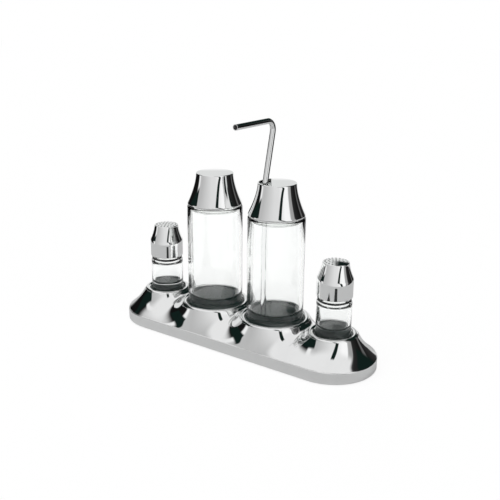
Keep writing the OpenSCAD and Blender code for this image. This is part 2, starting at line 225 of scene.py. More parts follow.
def finishes():
    """The set's finishes, made once."""
    if not MATERIALS:
        metal = bpy.context.scene.cruet_metal
        glass = bpy.context.scene.cruet_glass
        MATERIALS.update(
            chrome=mirror_chrome("mirror_chrome", tuple(metal.colour), metal.roughness, 0.03),
            tube=mirror_chrome("polished_tube", tuple(c * 0.97 for c in metal.colour),
                               metal.roughness + 0.01, 0.04, 0.000004),
            glass=clear_glass("pressed_glass", tuple(glass.colour), glass.ior, 0.015),
            plastic=clear_glass("clear_plastic", (0.95, 0.955, 0.95), 1.46, 0.10),
            silicone=clear_glass("clear_silicone", (0.93, 0.94, 0.93), 1.41, 0.3),
            # near-black painted shade inside the shaker caps, where the chrome sheet lies in shade
            cap_inside=soft_black("cap_inside", (0.03, 0.032, 0.032), 0.4, 0.00001),
            tube_inside=brushed_steel("tube_inside", (0.8, 0.8, 0.8), 0.45),
            # near-black coat on the clear glass underside in the seat: painted shade, so the jar floor reads
            # dark
            seated=soft_black("seated_glass", (0.003, 0.018, 0.015), 0.35, 0.00001),
            liner=soft_black("seat_rubber", (0.045, 0.060, 0.057), 0.25, 0.00002),
            rubber=soft_black("ring_rubber", (0.010, 0.011, 0.011), 0.5, 0.00001),
            plate=soft_black("underside_plate", (0.022, 0.023, 0.025), 0.55, 0.00005),
            screw=brushed_steel("screw_steel", (0.55, 0.55, 0.56), 0.2))
    return MATERIALS


# ---- Mesh work -----------------------------------------------------------------------


def piece_from(bm, name, body, finish, slot, *nodes, sharp=32.0):
    """Turns a bmesh in millimetres into a piece that rides on a body and stands for CAD nodes."""
    bmesh.ops.scale(bm, vec=(MM, MM, MM), verts=bm.verts)
    mesh = bpy.data.meshes.new(name)
    bm.to_mesh(mesh)
    bm.free()
    mesh.shade_smooth()
    mesh.set_sharp_from_angle(angle=math.radians(sharp))
    piece = bpy.data.objects.new(name, mesh)
    bpy.context.scene.collection.objects.link(piece)
    mesh.materials.append(finishes()[finish])
    if finish in ("glass", "plastic", "silicone"):
        piece.visible_shadow = False
        piece.visible_diffuse = False
    if nodes:
        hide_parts(*nodes)
    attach(piece, body)
    return piece


def coat(piece, finish, covers):
    """Gives another finish to the faces for which covers(middle in millimetres, normal) holds."""
    piece.data.materials.append(finishes()[finish])
    for face in piece.data.polygons:
        if covers(face.center / MM, face.normal):
            face.material_index = 1


def arc(x, y, r, start, end, steps=8):
    """Points on an arc, angles in degrees."""
    turns = [math.radians(start + (end - start) * i / steps) for i in range(steps + 1)]
    return [(x + r * math.cos(t), y + r * math.sin(t)) for t in turns]


def flare(r0, z0, r1, z1, power, steps=28):
    """A line that sweeps in from r0 at z0 to r1 at z1."""
    return [(r1 + (r0 - r1) * (1 - i / steps) ** power, z0 + (z1 - z0) * i / steps)
            for i in range(steps + 1)]


def turned(profile, x=0.0, y=0.0, around=AROUND, closed=False):
    """Spins a profile of (radius, height) about the upright line through x, y."""
    bm = bmesh.new()
    verts = [bm.verts.new((x + r, y, z)) for r, z in profile]
    edges = [bm.edges.new(pair) for pair in zip(verts, verts[1:])]
    if closed:
        edges.append(bm.edges.new((verts[-1], verts[0])))
    bmesh.ops.spin(bm, geom=verts + edges, cent=(x, y, 0), axis=(0, 0, 1), dvec=(0, 0, 0),
                   angle=2 * math.pi, steps=around, use_merge=True, use_duplicate=False)
    bmesh.ops.remove_doubles(bm, verts=bm.verts, dist=1e-4)
    bmesh.ops.recalc_face_normals(bm, faces=bm.faces)
    return bm


def carve(bm, cutter, operation):
    """Joins or cuts one bmesh with another, and gives back the result."""
    made = []
    for part in (bm, cutter):
        mesh = bpy.data.meshes.new("shaping")
        part.to_mesh(mesh)
        part.free()
        made.append(bpy.data.objects.new("shaping", mesh))
        bpy.context.scene.collection.objects.link(made[-1])
    step = made[0].modifiers.new("shape", "BOOLEAN")
    step.operation, step.object, step.solver = operation, made[1], "EXACT"
    graph = bpy.context.evaluated_depsgraph_get()
    out = bmesh.new()
    out.from_mesh(made[0].evaluated_get(graph).to_mesh())
    for each in made:
        mesh = each.data
        bpy.data.objects.remove(each)
        bpy.data.meshes.remove(mesh)
    return out


def prism(outline, z0, z1):
    """An upright solid over a flat outline."""
    bm = bmesh.new()
    face = bm.faces.new([bm.verts.new((x, y, z0)) for x, y in outline])
    top = bmesh.ops.extrude_face_region(bm, geom=[face])["geom"]
    bmesh.ops.translate(bm, vec=(0, 0, z1 - z0), verts=[v for v in top if isinstance(v, bmesh.types.BMVert)])
    bmesh.ops.recalc_face_normals(bm, faces=bm.faces)
    return bm


# ---- Base ----------------------------------------------------------------------------


def base_shape(settings):
    """The base's measures, in millimetres, taken from the CAD model."""
    lo, hi = (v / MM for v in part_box("base_shell"))
    collars = []
    for key in ("salt", "oil", "vinegar", "pepper"):
        x, y, r, z0, z1 = extent(key + "_seat_liner")
        collars.append((x, r + 0.05, r + 2 * settings.lip))
    return {"half_len": hi.x, "half_wid": hi.y, "top": hi.z, "foot": lo.z, "seat": z0, "collars": collars}


def base_height(shape, settings, x, y, reach):
    """Height of the base's top: full at a collar's lip, level at the edge, smooth between."""
    run = shape["half_len"] - shape["half_wid"]
    out = math.hypot(max(abs(x) - run, 0.0), y)
    soft = settings.ridge_soft / MM
    to_edge = math.hypot(reach, soft) - math.hypot(out, soft)
    gaps = [max(math.hypot(x - cx, y) - lip, 1e-3) for cx, _, lip in shape["collars"]]
    to_lip = sum(gap ** -2 for gap in gaps) ** -0.5
    share = max(0.0, to_edge) / (max(0.0, to_edge) + to_lip)
    edge = settings.crease / MM
    rise = settings.straight * share + (1 - settings.straight) * share ** settings.sweep
    return edge + (shape["top"] - settings.lip_drop - edge) * rise


class CruetBase(bpy.types.PropertyGroup):
    crease: FloatProperty(name="Crease height", description="Height of the line round the base",
                          default=0.0117, unit="LENGTH")
    straight: FloatProperty(name="Straight share", description="Share of the flanks' rise that is straight",
                            default=0.68)
    sweep: FloatProperty(name="Sweep", description="How quickly the rest rises to the collars", default=3.0)
    ridge_soft: FloatProperty(name="Ridge rounding", description="Rounding along the middle of the base",
                              default=0.006, unit="LENGTH")
    edge_round: FloatProperty(name="Edge rounding", description="Rounding at the crease",
                              default=0.0008, unit="LENGTH")
    lip: FloatProperty(name="Lip radius", description="Half the width of a collar's lip, in millimetres",
                       default=2.6)
    lip_drop: FloatProperty(name="Lip drop", description="How far below a lip's top its flank starts, in "
                            "millimetres", default=1.5)
    wall: FloatProperty(name="Wall", description="Thickness of the side wall in millimetres", default=3.0)
    hollow: FloatProperty(name="Hollow", description="Height of the hollow's roof in millimetres",
                          default=8.2)
    grid: FloatProperty(name="Grid", description="Spacing of the points along the edge, in millimetres",
                        default=1.6)


def steps_between(a, b, grid):
    """Even steps of about one grid from a up to b, without b."""
    count = max(1, round(abs(b - a) / grid))
    return [a + (b - a) * i / count for i in range(count)]


def outline_points(shape, reach, breaks, grid):
    """Points round the base's outline, anticlockwise from the right end of the front."""
    run = shape["half_len"] - shape["half_wid"]
    points = [(x, -reach) for a, b in zip(breaks, breaks[1:]) for x in steps_between(a, b, grid)]
    turn = [math.radians(t) for t in steps_between(-90, 90, math.degrees(grid / reach))]
    points += [(run + reach * math.cos(t), reach * math.sin(t)) for t in turn]
    points += [(-x, -y) for x, y in points]
    return points


class CRUET_OT_base(bpy.types.Operator):
    """Polished base that sweeps up into four collars"""

    bl_idname = "cruet.base"
    bl_label = "Base"

    def execute(self, context):
        settings = context.scene.cruet_base
        shape = base_shape(settings)
        lip = settings.lip
        rounding = settings.edge_round / MM
        reach = shape["half_wid"] - rounding
        run = shape["half_len"] - shape["half_wid"]
        collars = shape["collars"]
        splits = [(a[0] + a[2] + b[0] - b[2]) / 2 for a, b in zip(collars, collars[1:])]
        outline = outline_points(shape, reach, [-run, *splits, run], settings.grid)
        bm = bmesh.new()
        known = {}

        def at(x, y):
            key = (round(x, 4), round(y, 4))
            if key not in known:
                known[key] = bm.verts.new((x, y, base_height(shape, settings, x, y, reach)))
            return known[key]

        # one patch round each collar, out to the base's edge and the lines between the collars
        for (cx, bore, _), low, high in zip(collars, [-math.inf, *splits], [*splits, math.inf]):
            rim = [p for p in outline if low - 1e-6 <= p[0] <= high + 1e-6]
            for x in {low, high} & set(splits):
                rim += [(x, y) for y in steps_between(-reach, reach, settings.grid)[1:]]
            rim = sorted({(round(x, 6), round(y, 6)) for x, y in rim},
                         key=lambda p: math.atan2(p[1], p[0] - cx))
            lip_line = [(bore, shape["seat"])]
            lip_line += arc(bore + lip, shape["top"] - lip, lip, 180, 25, 14)
            start, start_z = lip_line[-1]
            rows = []
            for x, y in rim:
                far = math.hypot(x - cx, y)
                ux, uy = (x - cx) / far, y / far
                row = [bm.verts.new((cx + ux * r, uy * r, z)) for r, z in lip_line]
                first = base_height(shape, settings, cx + ux * start, uy * start, reach)
                for j in range(1, FLANK_STEPS):
                    t = (1 - math.cos(math.pi * j / FLANK_STEPS)) / 2
                    r = start + (far - start) * t
                    z = base_height(shape, settings, cx + ux * r, uy * r, reach)
                    z += (start_z - first) * math.exp(-(r - start) / settings.lip_drop) * (1 - t)
                    row.append(bm.verts.new((cx + ux * r, uy * r, z)))
                row.append(at(x, y))
                rows.append(row)
            for row, after in zip(rows, rows[1:] + rows[:1]):
                for a, b, c, d in zip(row, row[1:], after[1:], after):
                    bm.faces.new((a, b, c, d))
            bm.faces.new([row[0] for row in rows])
        # the side wall, the lower edge and the hollow underneath
        foot = shape["foot"]
        crease = settings.crease / MM
        wall = arc(-rounding, crease - rounding, rounding, 90, 0, 6)[1:]
        wall += [(0, crease - 4), (0, foot + 1.8)] + arc(-1.2, foot + 1.2, 1.2, 0, -90, 5)
        wall += [(-settings.wall, foot), (-settings.wall, settings.hollow)]
        ring = [at(*p) for p in outline]
        for out, z in wall:
            lower = []
            for x, y in outline:
                mx = max(-run, min(run, x))
                k = (shape["half_wid"] + out) / reach
                lower.append(bm.verts.new((mx + (x - mx) * k, y * k, z)))
            for i, a in enumerate(ring):
                j = (i + 1) % len(ring)
                bm.faces.new((a, ring[j], lower[j], lower[i]))
            ring = lower
        bm.faces.new(ring)
        bmesh.ops.recalc_face_normals(bm, faces=bm.faces)
        piece_from(bm, "base_skin", "base", "chrome", "polished_metal", "base_shell", sharp=35)
        return {"FINISHED"}


class CRUET_OT_seats(bpy.types.Operator):
    """Soft dark cups that line the four seats"""

    bl_idname = "cruet.seats"
    bl_label = "Seat liners"

    def execute(self, context):
        for key in (*SMALL, *TALL):
            x, y, r, z0, z1 = extent(key + "_seat_liner")
            floor = z0 + 2
            profile = [(0, z0), (r - 0.6, z0)] + arc(r - 0.6, z0 + 0.6, 0.6, -90, 0, 4)
            profile += arc(r - 0.5, z1 - 0.5, 0.5, 0, 90, 4) + arc(r - 0.7, z1 - 0.5, 0.5, 90, 180, 4)
            profile += arc(r - 2.2, floor + 1, 1.0, 0, -90, 4) + [(0, floor)]
            bm = turned(profile, x, y)
            piece_from(bm, key + "_seat_cup", "base", "liner", "seat_liner", key + "_seat_liner")
        return {"FINISHED"}


class CRUET_OT_underside(bpy.types.Operator):
    """Feet under the base, with the finishes of the plate and its screws"""

    bl_idname = "cruet.underside"
    bl_label = "Underside"

    def execute(self, context):
        lo, hi = (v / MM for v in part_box("base_feet"))
        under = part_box("base_plate")[0].z / MM
        r = FOOT_RADIUS
        x, y = hi.x - r, hi.y - r
        bm = bmesh.new()
        foot = [(0, 0.25), (r - 2.2, 0.25), (r - 1.8, 0)] + arc(r - 1.0, 0.5, 0.5, -90, -20, 4)
        foot += [(r, under), (2, under), (2, hi.z - 0.4), (1.6, hi.z), (0, hi.z)]
        for fx, fy in ((0, 0), (x, y), (x, -y), (-x, y), (-x, -y)):
            mesh = bpy.data.meshes.new("foot")
            part = turned(foot, fx, fy, 48)
            part.to_mesh(mesh)
            part.free()
            bm.from_mesh(mesh)
            bpy.data.meshes.remove(mesh)
        piece_from(bm, "foot_pads", "base", "rubber", "soft_rubber", "base_feet")
        for node, finish in (("base_plate", "plate"), ("base_screws", "screw")):
            dress(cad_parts[node], finish)
        return {"FINISHED"}


def dress(node, finish):
    """Gives a carried-over CAD node its finish."""
    node.data.materials.clear()
    node.data.materials.append(finishes()[finish])


# ---- Tall jars -----------------------------------------------------------------------


class CruetTall(bpy.types.PropertyGroup):
    wall: FloatProperty(name="Glass wall", description="Glass wall in millimetres", default=2.8)
    bottom: FloatProperty(name="Glass bottom", description="Thickness of the heavy bottom in millimetres",
                          default=15.0)
    top_radius: FloatProperty(name="Cap top", description="Radius of the flat top in millimetres",
                              default=16.9)
    sweep: FloatProperty(name="Cap sweep", description="How quickly a cap flares", default=1.58)
    sheet: FloatProperty(name="Cap sheet", description="Sheet thickness of a cap in millimetres",
                         default=0.9)
    opening: FloatProperty(name="Opening", description="From the middle to the opening's straight edge",
                           default=5.0)
    facing: FloatProperty(name="Opening faces", description="Way the opening faces",
                          default=math.radians(215), subtype="ANGLE")


class CRUET_OT_tall_jars(bpy.types.Operator):
    """Two tall jars of clear glass with heavy bottoms"""

    bl_idname = "cruet.tall_jars"
    bl_label = "Tall jars"

    def execute(self, context):
        tall = context.scene.cruet_tall
        for key in TALL:
            x, y, r, z0, z1 = extent(key + "_jar")
            bore, rim, floor = r - tall.wall, tall.wall / 2, z0 + tall.bottom
            sunk = extent(key + "_seat_liner")[4] - z0
            profile = [(0, z0 + 1.3), (8, z0 + 1.2), (14, z0 + 0.8), (19, z0 + 0.25), (21, z0)]
            profile += arc(r - 1.6, z0 + 1.6, 1.6, -80, 0, 7)
            profile += [(r, z0 + h) for h in (4, sunk, 12, 25, 50, 75)]
            profile += arc(r - rim, z1 - rim, rim, 0, 180, 12)
            profile += [(bore, z0 + h) for h in (75, 50, 25)]
            profile += arc(bore - 4, floor + 4, 4, 0, -90, 12)
            profile += [(12, floor + 0.15), (6, floor + 0.4), (0, floor + 0.5)]
            glass = piece_from(turned(profile, x, y, 128), key + "_jar_glass", key + "_jar", "glass",
                               "clear_glass", key + "_jar")
            # the glass faces that point down inside the seat get the near-black painted shade
            coat(glass, "seated", lambda middle, normal: middle.z < z0 + sunk and normal.z < -0.4)
        return {"FINISHED"}


def stopper_profile(key, r, z0, z1):
    """Half section of a stopper, with a flange, a grooved plug and a spigot, and whether it is a ring."""
    ring_out, ring_low, ring_high = extent(key + "_seal_ring")[2:]
    half, middle = (ring_high - ring_low) / 2, (ring_low + ring_high) / 2
    plug = r - 2.2
    flange = extent(key + "_cap")[3] - 0.5
    inner = plug - 2.4
    groove = ring_out - 2 * half - 0.05
    low, high = middle - half - 0.1, middle + half + 0.1
    outside = [(plug - 0.4, z0), (plug, z0 + 0.4), (plug, low), (groove, low), (groove, high), (plug, high),
               (plug, flange), (r, flange), (r, flange + 0.5), (r - 0.65, flange + 0.5), (r - 0.65, z1 - 0.3),
               (r - 0.95, z1)]
    if key == "vinegar":
        return outside + [(inner, z1), (inner, z0)], True
    return [(0, flange - 1.15), (inner, flange - 1.15), (inner, z0)] + outside + [(0, z1)], False


class CRUET_OT_stoppers(bpy.types.Operator):
    """Clear plastic stoppers under the tall caps, with their clear seal rings"""

    bl_idname = "cruet.stoppers"
    bl_label = "Stoppers"

    def execute(self, context):
        for key in TALL:
            x, y, r, z0, z1 = extent(key + "_stopper")
            profile, closed = stopper_profile(key, r, z0, z1)
            bm = turned(profile, x, y, closed=closed)
            piece_from(bm, key + "_stopper_plug", key + "_cap", "plastic", "clear_plastic", key + "_stopper")
            x, y, r, z0, z1 = extent(key + "_seal_ring")
            half = (z1 - z0) / 2
            bm = turned(arc(r - half, z0 + half, half, 0, 360, 20)[:-1], x, y, closed=True)
            piece_from(bm, key + "_ring", key + "_cap", "silicone", "clear_silicone", key + "_seal_ring")
        return {"FINISHED"}


def tall_cap(tall, key):
    """One flared cap of sheet metal with a rolled lip and a flat top."""
    x, y, r, z0, z1 = extent(key + "_cap")
    sheet, edge, lip = tall.sheet, 0.7, 0.9
    lip_z = z0 + 0.7 + lip
    spigot = r - sheet - 0.9
    profile = [(0, z1)] + arc(tall.top_radius - edge, z1 - edge, edge, 90, 5, 6)
    profile += flare(r, lip_z, tall.top_radius, z1 - edge, tall.sweep)[::-1][1:]
    profile += arc(r - lip, lip_z, lip, -12, -90, 6) + [(r - lip, z0 + 0.1), (r - lip - 0.1, z0)]
    profile += [(spigot, z0), (spigot, z0 + 0.7)]
    inside = flare(r - sheet, lip_z + sheet / 2, tall.top_radius - sheet, z1 - sheet - edge, tall.sweep)
    profile += inside + [(tall.top_radius - sheet - 0.6, z1 - sheet), (0, z1 - sheet)]
    return turned(profile, x, y, 128), (x, y, r, z1)


class CRUET_OT_tall_caps(bpy.types.Operator):
    """Two flared caps, one of them open for pouring"""

    bl_idname = "cruet.tall_caps"
    bl_label = "Tall caps"

    def execute(self, context):
        tall = context.scene.cruet_tall
        for key in TALL:
            bm, (x, y, r, top) = tall_cap(tall, key)
            if key == "vinegar":
                turn = Matrix.Translation((x, y, 0)) @ Matrix.Rotation(tall.facing, 4, "Z")
                reach = tall.top_radius - tall.sheet - 0.5
                side = math.sqrt(reach ** 2 - tall.opening ** 2)
                plate = bmesh.new()
                bmesh.ops.create_cube(plate, size=1.0)
                bmesh.ops.scale(plate, vec=(tall.sheet, 2 * side + 1.6, 5.0), verts=plate.verts)
                bmesh.ops.translate(plate, vec=(tall.opening - tall.sheet / 2, 0, top - 2.6),
                                    verts=plate.verts)
                bmesh.ops.transform(plate, matrix=turn, verts=plate.verts)
                bm = carve(bm, plate, "UNION")
                half = math.degrees(math.acos(tall.opening / reach))
                hole = prism(arc(0, 0, reach, -half, half, 40), top - 3.5 * tall.sheet, top + 2)
                bmesh.ops.transform(hole, matrix=turn, verts=hole.verts)
                bm = carve(bm, hole, "DIFFERENCE")
            piece_from(bm, key + "_cap_shell", key + "_cap", "chrome", "polished_metal", key + "_cap")
        return {"FINISHED"}


# ---- Tube ----------------------------------------------------------------------------


class CruetTube(bpy.types.PropertyGroup):
    radius: FloatProperty(name="Tube radius", description="Outer radius in millimetres", default=2.5)
    wall: FloatProperty(name="Tube wall", description="Wall of the tube in millimetres", default=0.5)
    lean: FloatProperty(name="Lean", description="Lean of the stem above the cap",
                        default=math.radians(13.5), subtype="ANGLE")
    corner: FloatProperty(name="Corner", description="Centre-line radius of the upper bend in millimetres",
                          default=8.0)
    knee: FloatProperty(name="Knee", description="Centre-line radius of the lower bend in millimetres",
                        default=14.0)


def tube_y(tall):
    """Where the straight part stands: in the middle of the vinegar cap's opening, a little to one side."""
    out = (tall.opening + tall.top_radius - tall.sheet - 0.5) / 2
    return out * math.sin(tall.facing - math.radians(4))


class CRUET_OT_tube(bpy.types.Operator):
    """Bent tube that stands in the vinegar jar and reaches out to the front"""

    bl_idname = "cruet.tube"
    bl_label = "Dispensing tube"

    def execute(self, context):
        tube = context.scene.cruet_tube
        lo, hi = (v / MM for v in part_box("dispensing_tube"))
        r = tube.radius
        x, y = (lo.x + hi.x) / 2, tube_y(context.scene.cruet_tall)
        arm_z = hi.z - r
        knee_z = extent("vinegar_cap")[4] - 1.2
        lean = tube.lean
        corner_turn = math.pi / 2 + lean
        corner_tan = tube.corner * math.tan(corner_turn / 2)
        stem = (arm_z - knee_z) / math.cos(lean)
        knee_tan = tube.knee * math.tan(lean / 2)
        bm = bmesh.new()
        ring = []
        for radius in (r, r - tube.wall):
            made = bmesh.ops.create_circle(bm, segments=40, radius=radius, cap_ends=False)
            ring += list({e for v in made["verts"] for e in v.link_edges})
        bmesh.ops.translate(bm, vec=(x, y, lo.z), verts=bm.verts)
        first = list(ring)

        def straight(edges, vec, steps):
            for _ in range(steps):
                out = bmesh.ops.extrude_edge_only(bm, edges=edges)["geom"]
                bmesh.ops.translate(bm, vec=Vector(vec) / steps,
                                    verts=[g for g in out if isinstance(g, bmesh.types.BMVert)])
                edges = [g for g in out if isinstance(g, bmesh.types.BMEdge)]
            return edges

        def bend(edges, cent, angle, steps):
            out = bmesh.ops.spin(bm, geom=edges, cent=cent, axis=(1, 0, 0), dvec=(0, 0, 0), angle=angle,
                                 steps=steps, use_merge=False, use_duplicate=False)["geom_last"]
            return [g for g in out if isinstance(g, bmesh.types.BMEdge)]

        ring = straight(ring, (0, 0, knee_z - knee_tan - lo.z), 6)
        ring = bend(ring, (x, y + tube.knee, knee_z - knee_tan), -lean, 6)
        free = stem - knee_tan - corner_tan
        ring = straight(ring, (0, free * math.sin(lean), free * math.cos(lean)), 4)
        corner_y = y + stem * math.sin(lean)
        ring = bend(ring, (x, corner_y - corner_tan, arm_z - tube.corner), corner_turn, 22)
        ring = straight(ring, (0, lo.y - corner_y + corner_tan, 0), 4)
        for end in (first, ring):
            bmesh.ops.bridge_loops(bm, edges=[e for e in end if e.is_valid])
        bmesh.ops.recalc_face_normals(bm, faces=bm.faces)
        pipe = piece_from(bm, "bent_tube", "tube", "tube", "tube_steel", "dispensing_tube", sharp=50)
        bore = r - tube.wall / 2
        coat(pipe, "tube_inside",
             lambda middle, normal: middle.y < lo.y + 12 and middle.z > knee_z and normal.y > -0.5
             and math.hypot(middle.x - x, middle.z - arm_z) < bore)
        return {"FINISHED"}


# ---- Shakers -------------------------------------------------------------------------


class CruetShaker(bpy.types.PropertyGroup):
    wall: FloatProperty(name="Glass wall", description="Glass wall in millimetres", default=2.3)
    bottom: FloatProperty(name="Glass bottom", description="Thickness of the bottom in millimetres",
                          default=14.7)
    neck: FloatProperty(name="Neck", description="Radius of the neck in millimetres", default=12.2)
    neck_height: FloatProperty(name="Neck height", description="Height of the neck in millimetres",
                               default=14.5)
    dome_radius: FloatProperty(name="Perforated top", description="Its radius in millimetres", default=11.2)
    dome_rise: FloatProperty(name="Dome", description="Its rise in millimetres", default=0.9)
    flare_height: FloatProperty(name="Flare", description="Height of the flare in millimetres", default=14.1)
    sweep: FloatProperty(name="Cap sweep", description="How quickly a cap flares", default=1.58)
    sheet: FloatProperty(name="Cap sheet", description="Sheet thickness in millimetres", default=0.8)
    hole: FloatProperty(name="Hole", description="Radius of a hole in millimetres", default=0.75)
    pitch: FloatProperty(name="Hole pitch", description="Spacing of the rings in millimetres", default=3.05)
    rings: IntProperty(name="Rings", description="Rings of holes round the middle one", default=3)


class CRUET_OT_shaker_jars(bpy.types.Operator):
    """Two small glass jars with plain necks, and the gaskets on their shoulders"""

    bl_idname = "cruet.shaker_jars"
    bl_label = "Shaker jars"

    def execute(self, context):
        small = context.scene.cruet_shaker
        for key in SMALL:
            x, y, r, z0, z1 = extent(key + "_jar")
            bore, shoulder, floor = r - small.wall, z1 - small.neck_height, z0 + small.bottom
            neck_bore, sunk = small.neck - NECK_WALL, extent(key + "_seat_liner")[4] - z0
            profile = [(0, z0 + 0.8), (6, z0 + 0.7), (10, z0 + 0.3), (12.4, z0)]
            profile += arc(r - 1.2, z0 + 1.2, 1.2, -80, 0, 6)
            profile += [(r, z0 + 4), (r, z0 + sunk), (r, z0 + 20), (r, z0 + 30)]
            profile += arc(r - 1.5, shoulder - 1.5, 1.5, 0, 90, 8) + [(small.neck, shoulder)]
            profile += [(small.neck, z1 - 0.6)] + arc(small.neck - 0.6, z1 - 0.6, 0.6, 0, 90, 4)
            profile += arc(neck_bore + 0.4, z1 - 0.4, 0.4, 90, 180, 3) + [(neck_bore, shoulder - 1)]
            profile += arc(bore - 2, shoulder - 5, 2, 60, 0, 6) + [(bore, z0 + 25)]
            profile += arc(bore - 3, floor + 3, 3, 0, -90, 10) + [(6, floor + 0.1), (0, floor + 0.3)]
            glass = piece_from(turned(profile, x, y), key + "_jar_glass", key + "_jar", "glass",
                               "clear_glass", key + "_jar")
            # the glass faces that point down inside the seat get the near-black painted shade
            coat(glass, "seated", lambda middle, normal: middle.z < z0 + sunk and normal.z < -0.4)
            x, y, r, z0, z1 = extent(key + "_gasket")
            hole = small.neck + 0.05
            profile = arc(r - 0.4, z0 + 0.4, 0.4, -90, 0, 3) + arc(r - 0.4, z1 - 0.4, 0.4, 0, 90, 3)
            profile += [(hole + 0.1, z1), (hole, z1 - 0.1), (hole, z0 + 0.1), (hole + 0.1, z0)]
            bm = turned(profile, x, y, closed=True)
            piece_from(bm, key + "_gasket_ring", key + "_gasket", "rubber", "soft_rubber", key + "_gasket")
        return {"FINISHED"}


class CRUET_OT_shaker_caps(bpy.types.Operator):
    """Two shaker caps with perforated domes, and the clear sleeves inside them"""

    bl_idname = "cruet.shaker_caps"
    bl_label = "Shaker caps"

    def execute(self, context):
        small = context.scene.cruet_shaker
        for key in SMALL:
            x, y, r, z0, z1 = extent(key + "_cap")
            sheet, dome = small.sheet, small.dome_radius
            edge_z = z1 - small.dome_rise
            band_z = edge_z - small.flare_height
            big = (dome ** 2 + small.dome_rise ** 2) / (2 * small.dome_rise)
            half = math.degrees(math.asin(dome / big))
            profile = arc(0, z1 - big, big, 90, 90 - half, 14)[:-1]
            profile += arc(dome - 0.35, edge_z - 0.3, 0.35, 75, 8, 4)
            profile += flare(r, band_z, dome, edge_z - 0.3, small.sweep)[::-1][1:]
            profile += [(r, band_z - 4), (r, z0 + 0.25), (r - 0.25, z0), (r - sheet, z0)]
            profile += [(r - sheet, band_z)]
            profile += flare(r - sheet, band_z, dome - sheet, edge_z - sheet, small.sweep)[1:]
            profile += arc(0, z1 - big, big - sheet, 90 - half + 4, 90, 10)
            profile[0], profile[-1] = (0, z1), (0, z1 - sheet)
            bm = turned(profile, x, y)
            holes = bmesh.new()
            for ring in range(small.rings + 1):
                for i in range(max(1, 6 * ring)):
                    t = math.radians(60 * i / ring) if ring else 0.0
                    spot = Matrix.Translation((x + ring * small.pitch * math.cos(t),
                                               y + ring * small.pitch * math.sin(t), z1 - 1.2))
                    bmesh.ops.create_cone(holes, cap_ends=True, segments=20, radius1=small.hole,
                                          radius2=small.hole, depth=6, matrix=spot)
            bm = carve(bm, holes, "DIFFERENCE")
            cap = piece_from(bm, key + "_cap_shell", key + "_cap", "chrome", "polished_metal", key + "_cap")
            # the cap's inner faces get a near-black coat: painted shade, so the holes read dark
            under = z1 - sheet * 0.8

            def painted_shade_faces(middle, normal):
                away = Vector((middle.x - x, middle.y - y))
                facing_in = away.length > 0 and normal.xy.dot(away) / away.length < -0.2
                return middle.z < under and middle.z > z0 + 0.1 and (facing_in or normal.z < -0.5)

            coat(cap, "cap_inside", painted_shade_faces)
            x, y, r, z0, z1 = extent(key + "_cap_sleeve")
            bore, mouth = small.neck + 0.3, small.neck - NECK_WALL
            profile = [(bore + 0.3, z0), (r - 0.3, z0), (r, z0 + 0.3), (r, z1), (mouth, z1)]
            profile += [(mouth, z1 - 0.8), (bore, z1 - 0.8), (bore, z0 + 0.3)]
            bm = turned(profile, x, y, closed=True)
            piece_from(bm, key + "_sleeve", key + "_cap", "plastic", "clear_plastic", key + "_cap_sleeve")
        return {"FINISHED"}


# ---- Finishes and stage --------------------------------------------------------------


class CruetMetal(bpy.types.PropertyGroup):
    colour: FloatVectorProperty(name="Metal", description="Colour of the plating", subtype="COLOR",
                                default=(0.94, 0.945, 0.945))
    roughness: FloatProperty(name="Roughness", description="Roughness of the plating", default=0.02)


class CruetGlass(bpy.types.PropertyGroup):
    colour: FloatVectorProperty(name="Glass", description="Colour of the glass", subtype="COLOR",
                                default=(0.985, 0.992, 0.988))
    ior: FloatProperty(name="IOR", description="How strongly the glass bends light", default=1.5)


class CruetStage(bpy.types.PropertyGroup):
    floor_colour: FloatVectorProperty(name="Floor", description="Colour of the floor", subtype="COLOR",
                                      default=(0.8, 0.8, 0.8))
    key_power: FloatProperty(name="Key light", description="Strength of the soft light overhead",
                             default=0.35)
    lens: FloatProperty(name="Lens", description="Focal length in millimetres", default=54.26)
    azimuth: FloatProperty(name="Azimuth", description="Way the camera looks from, round the object",
                           default=math.radians(35.41), subtype="ANGLE")
    height: FloatProperty(name="Elevation", description="Height of the camera as an angle",
                          default=math.radians(17.83), subtype="ANGLE")
    distance: FloatProperty(name="Distance", description="From the camera to the point it looks at",
                            default=0.6686, unit="LENGTH")
    roll: FloatProperty(name="Roll", description="Tilt of the camera about its view",
                        default=math.radians(0.51), subtype="ANGLE")


# Studio walls seen in the metal: (direction in degrees from +X, brightness)
STUDIO = [(-180, 0.006), (-156, 0.008), (-152, 0.85), (-146, 0.92), (-140, 0.52), (-128, 0.5), (-110, 0.57),
          (-90, 0.66), (-70, 0.75), (-48, 0.78), (-30, 0.9), (-16, 1.0), (3, 0.98), (7, 0.40), (18, 0.33),
          (21, 0.40), (24, 0.05), (28, 0.02), (57, 0.006), (60, 0.10), (66, 0.13), (69, 0.012), (90, 0.03),
          (96, 0.9), (130, 1.0), (150, 1.0), (154, 0.35), (158, 0.12), (161, 0.006), (180, 0.006)]


CARD_SIZE = 0.056               # side of a dark card on the floor, in metres


